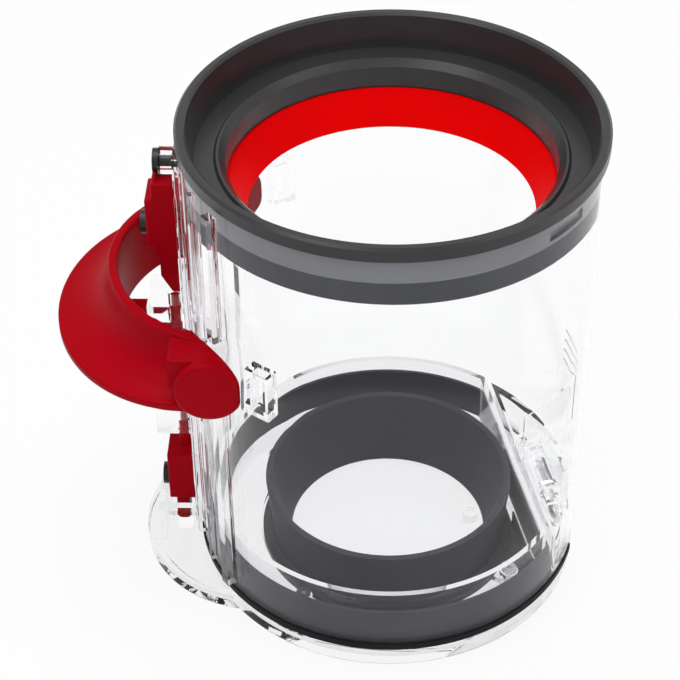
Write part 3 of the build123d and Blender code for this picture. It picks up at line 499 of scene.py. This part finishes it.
def makeCorners(look):
    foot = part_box("funnel_seal")[0].z
    head = foot + look["thick"]
    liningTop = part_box("skirt_seal")[0].z + look["lap"]
    inward = -look["lining"] * Vector((math.cos(look["turn"]), math.sin(look["turn"]), 0))
    points = []
    faces = []
    for start, stop in look["spans"]:
        near = []
        far = []
        for step in range(look["steps"] + 1):
            angle = start + (stop - start) * step / look["steps"]
            ray = Vector((math.cos(angle), math.sin(angle), 0))
            near.append(ray * look["inner"])
            far.append(ray * look["flat"] / math.cos(angle - look["turn"]))
        addPrism(points, faces, far + near[::-1], foot, head)
        addPrism(points, faces, [far[0], far[-1], far[-1] + inward, far[0] + inward], head, liningTop)
    mesh = bpy.data.meshes.new("seal_corners")
    mesh.from_pydata(points, [], faces)
    mesh.materials.append(finishFor("funnel_seal"))
    placePiece("seal_corners", mesh, "funnel_seal")

for nodeName in nodes:
    if nodeName not in springLook and nodeName not in screwLook:
        dressNode(nodeName)
print("solids dressed:", len(nodes) - len(springLook) - len(screwLook))

springTree = coilTree(finishes["brightSteel"])
for nodeName in springLook:
    dressSpring(nodeName, springTree)
for nodeName in screwLook:
    dressScrews(nodeName)
ribMesh = growMesh("grip_ribs", ribTree(finishes["clearPlastic"]), ribLook, bpy.data.meshes.new("ribStart"))
placePiece("grip_ribs", ribMesh, "bin_tube")
makeCorners(cornerLook)
print("springs, screws, grip ribs and seal corners grown")

# floor, light and camera

stageLook = {
    "half": 2.5, "drop": 0.0002, "pale": 0.90, "rough": 0.8, "gloss": 0.1, "shadowShare": 0.10,
    "worldLight": 0.38, "zenith": 0.80, "skyFrom": 0.15, "skyTo": 0.75,
}

def whiteRays(tree):
    path = tree.nodes.new("ShaderNodeLightPath")
    seen = addMath(tree, "MAXIMUM", path.outputs["Is Camera Ray"], path.outputs["Is Transmission Ray"])
    return addMath(tree, "MAXIMUM", seen, path.outputs["Is Glossy Ray"])

def makeFloor(look):
    mesh = bpy.data.meshes.new("floor")
    half = look["half"]
    corners = [(x * half, y * half, -look["drop"]) for x, y in ((-1, -1), (1, -1), (1, 1), (-1, 1))]
    mesh.from_pydata(corners, [], [(0, 1, 2, 3)])
    floor = addObject("floor", mesh)
    finish, tree, shader = startFinish("paleFloor")
    shader.inputs["Base Color"].default_value = (look["pale"], look["pale"], look["pale"], 1)
    shader.inputs["Roughness"].default_value = look["rough"]
    shader.inputs["Specular IOR Level"].default_value = look["gloss"]
    share = addMath(tree, "MULTIPLY", whiteRays(tree), 1 - look["shadowShare"])
    path = tree.nodes.new("ShaderNodeLightPath")
    passed = addMath(tree, "MAXIMUM", share, path.outputs["Is Shadow Ray"])
    through = tree.nodes.new("ShaderNodeBsdfTransparent")  # the open lid below the floor stays in sight
    shown = mixShaders(tree, passed, shader.outputs["BSDF"], through.outputs["BSDF"])
    tree.links.new(shown, tree.nodes["Material Output"].inputs["Surface"])
    mesh.materials.append(finish)

def makeWorld(look):
    world = bpy.data.worlds.new("studio")
    scene.world = world
    world.use_nodes = True
    tree = world.node_tree
    back = tree.nodes["Background"]
    back.inputs["Color"].default_value = (1, 1, 1, 1)
    place = tree.nodes.new("ShaderNodeTexCoord")
    split = tree.nodes.new("ShaderNodeSeparateXYZ")
    tree.links.new(place.outputs["Generated"], split.inputs[0])
    sky = tree.nodes.new("ShaderNodeMapRange")
    sky.inputs["From Min"].default_value = look["skyFrom"]
    sky.inputs["From Max"].default_value = look["skyTo"]
    sky.inputs["To Min"].default_value = 1.0
    sky.inputs["To Max"].default_value = look["zenith"]
    tree.links.new(split.outputs["Z"], sky.inputs["Value"])
    strength = tree.nodes.new("ShaderNodeMapRange")
    strength.inputs["To Min"].default_value = look["worldLight"]
    tree.links.new(whiteRays(tree), strength.inputs["Value"])
    tree.links.new(sky.outputs["Result"], strength.inputs["To Max"])
    tree.links.new(strength.outputs["Result"], back.inputs["Strength"])

lampAim = (0, 0, 0.07)
lampSet = {
    "keyLamp": {"at": (-0.50, -0.50, 0.85), "size": 0.55, "power": 2.0},
    "fillLamp": {"at": (0.72, -0.30, 0.60), "size": 0.60, "power": 1.2},
    "topLamp": {"at": (-0.05, 0.05, 1.05), "size": 0.70, "power": 6.3},
}

def makeLamp(name, look):
    data = bpy.data.lights.new(name, "AREA")
    data.shape = "SQUARE"
    data.size = look["size"]
    data.energy = look["power"]
    lamp = addObject(name, data)
    aim = Vector(lampAim) - Vector(look["at"])
    lamp.matrix_world = Matrix.Translation(look["at"]) @ aim.to_track_quat("-Z", "Y").to_matrix().to_4x4()

cameraLook = {
    "at": (0.0, -0.45028, 0.44480), "yaw": -0.0322, "pitch": 0.6858, "roll": -0.0081,
    "lens": 105.88, "sensor": 36, "near": 0.01, "far": 20,
}

def makeCamera(look):
    data = bpy.data.cameras.new("photoCamera")
    data.sensor_width = look["sensor"]
    data.lens = look["lens"]
    data.clip_start = look["near"]
    data.clip_end = look["far"]
    camera = addObject("photoCamera", data)
    yaw, pitch, roll = look["yaw"], look["pitch"], look["roll"]
    ahead = Vector((math.sin(yaw) * math.cos(pitch), math.cos(yaw) * math.cos(pitch), -math.sin(pitch)))
    across = Vector((math.cos(yaw), -math.sin(yaw), 0))
    upward = across.cross(ahead)
    right = across * math.cos(roll) + upward * math.sin(roll)
    top = upward * math.cos(roll) - across * math.sin(roll)
    turn = Matrix((right, top, -ahead)).transposed().to_4x4()
    camera.matrix_world = Matrix.Translation(look["at"]) @ turn
    scene.camera = camera

lightPaths = {  # long ways through the clear ribs
    "max_bounces": 200, "glossy_bounces": 190, "transmission_bounces": 190, "transparent_max_bounces": 40,
}

makeFloor(stageLook)
makeWorld(stageLook)
for lampName, lampLook in lampSet.items():
    makeLamp(lampName, lampLook)
makeCamera(cameraLook)
for pathName, limit in lightPaths.items():
    setattr(scene.cycles, pathName, limit)
scene.view_settings.view_transform = "Standard"
print("stage, lamps and camera set")
